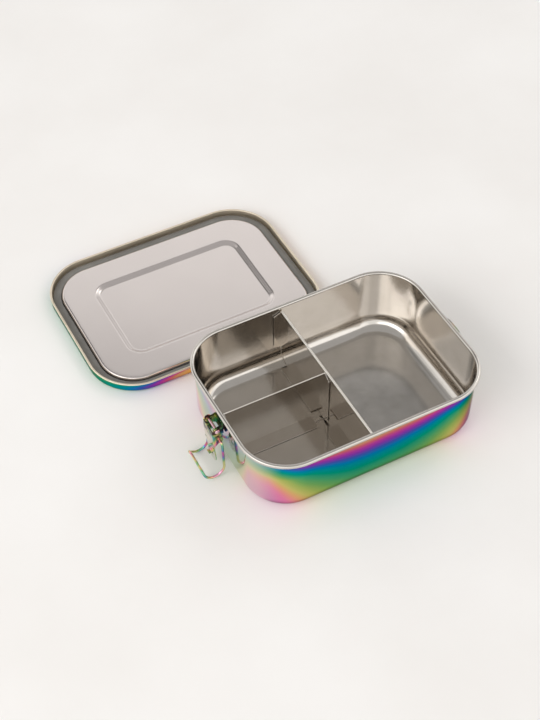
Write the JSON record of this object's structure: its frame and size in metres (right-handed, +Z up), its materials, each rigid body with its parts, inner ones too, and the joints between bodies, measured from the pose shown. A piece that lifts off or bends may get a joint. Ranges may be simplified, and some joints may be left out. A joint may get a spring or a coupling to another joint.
{
  "type": "bento lunch box",
  "caption": "Drawn steel lunch box: open rectangular tub with lift-out T-shaped divider, hinged wire-bail latch on each short side, and gasketed lid lying upside down behind it.",
  "frame": {"origin": "centre of the tub's flat underside, on the surface that it stands on", "axes": "+Z up; +X along the tub's long side; +Y across it, towards the lid that lies behind the tub"},
  "size_m": [0.2715, 0.3165, 0.058],
  "materials": {
    "tub_steel": "polished outside with a rainbow interference coating in bands from magenta at the rim through blue and teal to yellow-green at the base; bare polished steel inside and on the rolled rim",
    "lid_steel": "satin bare steel inside; the same rainbow coating on the outer skirt and top",
    "gasket_silicone": "matt grey silicone",
    "divider_steel": "polished bare sheet steel with sheared edges",
    "latch_steel": "polished sheet and wire with a dark rainbow interference coating"
  },
  "bodies": {
    "tub": {"tub": "tub_steel", "latch_bracket_left": "latch_steel", "latch_bracket_right": "latch_steel", "latch_pin_left": "latch_steel", "latch_pin_right": "latch_steel"},
    "divider": {"main_divider": "divider_steel", "cross_divider": "divider_steel"},
    "lid": {"lid_shell": "lid_steel", "lid_gasket": "gasket_silicone"},
    "lever_left": {"latch_lever_left": "latch_steel"},
    "lever_right": {"latch_lever_right": "latch_steel"},
    "bail_left": {"latch_bail_left": "latch_steel"},
    "bail_right": {"latch_bail_right": "latch_steel"}
  },
  "joints": [
    {"name": "lid_lift", "type": "slide", "parent": "tub", "child": "lid", "axis": [0, 0, 1], "range_m": [0, 0.12]},
    {"name": "divider_lift", "type": "slide", "parent": "tub", "child": "divider", "axis": [0, 0, 1], "range_m": [0, 0.09]},
    {"name": "lever_left_hinge", "type": "hinge", "parent": "tub", "child": "lever_left", "pos_m": [-0.1038, 0, 0.0447], "axis": [0, -1, 0], "range_deg": [-100, 0]},
    {"name": "lever_right_hinge", "type": "hinge", "parent": "tub", "child": "lever_right", "pos_m": [0.1038, 0, 0.0447], "axis": [0, 1, 0], "range_deg": [-100, 0]},
    {"name": "bail_left_hinge", "type": "hinge", "parent": "lever_left", "child": "bail_left", "pos_m": [-0.102, 0, 0.0335], "axis": [0, 1, 0], "range_deg": [0, 180]},
    {"name": "bail_right_hinge", "type": "hinge", "parent": "lever_right", "child": "bail_right", "pos_m": [0.102, 0, 0.0335], "axis": [0, -1, 0], "range_deg": [0, 180]}
  ]
}
